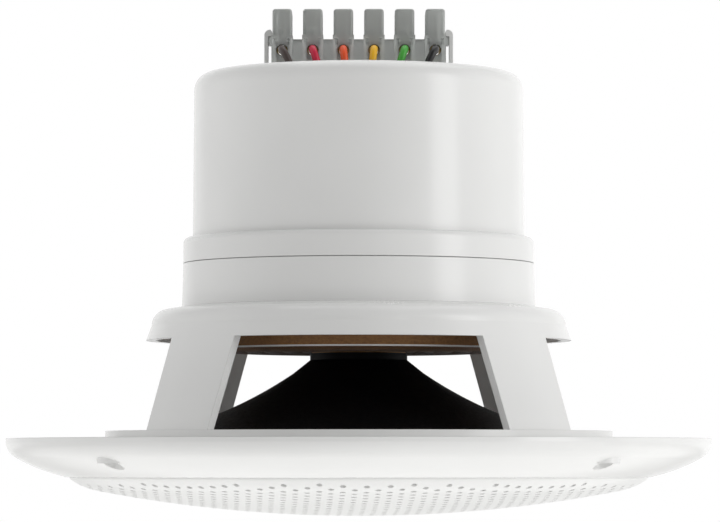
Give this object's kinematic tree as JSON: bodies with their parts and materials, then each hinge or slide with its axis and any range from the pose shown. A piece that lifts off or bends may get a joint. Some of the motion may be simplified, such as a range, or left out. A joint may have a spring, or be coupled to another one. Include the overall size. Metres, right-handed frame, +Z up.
{
  "type": "ceiling loudspeaker",
  "caption": "Flush ceiling loudspeaker: domed perforated grille in a round screw-on flange, open basket with a black cone, covered motor and a screw terminal strip on top.",
  "frame": {"origin": "centre of the four flange screws, on the plane of the flange's upper face that lies on the ceiling", "axes": "+Z up along the driver's axis into the ceiling void, +X along the terminal strip, -Y the side where the speaker's own leads enter the strip"},
  "size_m": [0.23, 0.23, 0.1655],
  "materials": {
    "white_abs": "glossy white moulding",
    "cone_black": "black polypropylene, satin",
    "surround_black": "black rubber, matt",
    "gasket_black": "black foam gasket",
    "former_amber": "amber film",
    "copper": "enamelled copper",
    "spider_cloth": "brown impregnated cloth",
    "ring_board": "brown pressed fibre board",
    "zinc_steel": "zinc plated",
    "ferrite": "ferrite, ground faces",
    "screw_steel": "zinc plated",
    "terminal_screw": "nickel plated",
    "lamination": "varnished laminations",
    "bobbin_nylon": "natural nylon",
    "winding_tape": "yellow tape",
    "grommet_rubber": "dark grey rubber",
    "clear_polyamide": "milky translucent polyamide",
    "brass": "bright brass",
    "tinned_copper": "tinned copper",
    "wire_brown": "dark brown insulation",
    "wire_red": "red insulation",
    "wire_orange": "orange insulation",
    "wire_yellow": "yellow insulation",
    "wire_green": "green insulation",
    "wire_black": "black insulation"
  },
  "bodies": {
    "speaker": {"basket": "white_abs", "grille": "white_abs", "rear_cover": "white_abs", "surround": "surround_black", "surround_gasket": "gasket_black", "spider": "spider_cloth", "spider_ring": "ring_board", "top_plate": "zinc_steel", "back_plate": "zinc_steel", "magnet": "ferrite", "motor_screws": "screw_steel", "core_stack": "lamination", "bobbin": "bobbin_nylon", "primary_winding": "winding_tape", "secondary_winding": "winding_tape", "core_strap": "zinc_steel", "strap_screws": "screw_steel", "cover_seal": "grommet_rubber", "cable_grommet": "grommet_rubber", "terminal_strip": "clear_polyamide", "clamp_blocks": "brass", "lead_cores": "tinned_copper", "tag_board": "ring_board", "solder_tags": "tinned_copper", "tinsel_leads": "copper", "hookup_wires": "wire_black", "lead_brown": "wire_brown", "lead_red": "wire_red", "lead_orange": "wire_orange", "lead_yellow": "wire_yellow", "lead_green": "wire_green", "lead_black": "wire_black"},
    "diaphragm": {"cone": "cone_black", "dust_cap": "cone_black", "coil_former": "former_amber", "coil_winding": "copper"},
    "inner_clamp_screw_1": {"inner_clamp_screw_1": "terminal_screw"},
    "inner_clamp_screw_2": {"inner_clamp_screw_2": "terminal_screw"},
    "inner_clamp_screw_3": {"inner_clamp_screw_3": "terminal_screw"},
    "inner_clamp_screw_4": {"inner_clamp_screw_4": "terminal_screw"},
    "inner_clamp_screw_5": {"inner_clamp_screw_5": "terminal_screw"},
    "inner_clamp_screw_6": {"inner_clamp_screw_6": "terminal_screw"},
    "outer_clamp_screw_1": {"outer_clamp_screw_1": "terminal_screw"},
    "outer_clamp_screw_2": {"outer_clamp_screw_2": "terminal_screw"},
    "outer_clamp_screw_3": {"outer_clamp_screw_3": "terminal_screw"},
    "outer_clamp_screw_4": {"outer_clamp_screw_4": "terminal_screw"},
    "outer_clamp_screw_5": {"outer_clamp_screw_5": "terminal_screw"},
    "outer_clamp_screw_6": {"outer_clamp_screw_6": "terminal_screw"}
  },
  "joints": [
    {"name": "diaphragm_travel", "type": "slide", "parent": "speaker", "child": "diaphragm", "axis": [0, 0, 1], "range_m": [-0.003, 0.003], "stiffness_N_per_m": 2000, "deforming": ["surround", "spider", "tinsel_leads"]},
    {"name": "inner_clamp_screw_1_travel", "type": "slide", "parent": "speaker", "child": "inner_clamp_screw_1", "axis": [0, 0, 1], "range_m": [0, 0.0025]},
    {"name": "inner_clamp_screw_2_travel", "type": "slide", "parent": "speaker", "child": "inner_clamp_screw_2", "axis": [0, 0, 1], "range_m": [0, 0.0025]},
    {"name": "inner_clamp_screw_3_travel", "type": "slide", "parent": "speaker", "child": "inner_clamp_screw_3", "axis": [0, 0, 1], "range_m": [0, 0.0025]},
    {"name": "inner_clamp_screw_4_travel", "type": "slide", "parent": "speaker", "child": "inner_clamp_screw_4", "axis": [0, 0, 1], "range_m": [0, 0.0025]},
    {"name": "inner_clamp_screw_5_travel", "type": "slide", "parent": "speaker", "child": "inner_clamp_screw_5", "axis": [0, 0, 1], "range_m": [0, 0.0025]},
    {"name": "inner_clamp_screw_6_travel", "type": "slide", "parent": "speaker", "child": "inner_clamp_screw_6", "axis": [0, 0, 1], "range_m": [0, 0.0025]},
    {"name": "outer_clamp_screw_1_travel", "type": "slide", "parent": "speaker", "child": "outer_clamp_screw_1", "axis": [0, 0, 1], "range_m": [-0.002, 0.001]},
    {"name": "outer_clamp_screw_2_travel", "type": "slide", "parent": "speaker", "child": "outer_clamp_screw_2", "axis": [0, 0, 1], "range_m": [-0.002, 0.001]},
    {"name": "outer_clamp_screw_3_travel", "type": "slide", "parent": "speaker", "child": "outer_clamp_screw_3", "axis": [0, 0, 1], "range_m": [-0.002, 0.001]},
    {"name": "outer_clamp_screw_4_travel", "type": "slide", "parent": "speaker", "child": "outer_clamp_screw_4", "axis": [0, 0, 1], "range_m": [-0.002, 0.001]},
    {"name": "outer_clamp_screw_5_travel", "type": "slide", "parent": "speaker", "child": "outer_clamp_screw_5", "axis": [0, 0, 1], "range_m": [-0.002, 0.001]},
    {"name": "outer_clamp_screw_6_travel", "type": "slide", "parent": "speaker", "child": "outer_clamp_screw_6", "axis": [0, 0, 1], "range_m": [-0.002, 0.001]}
  ]
}
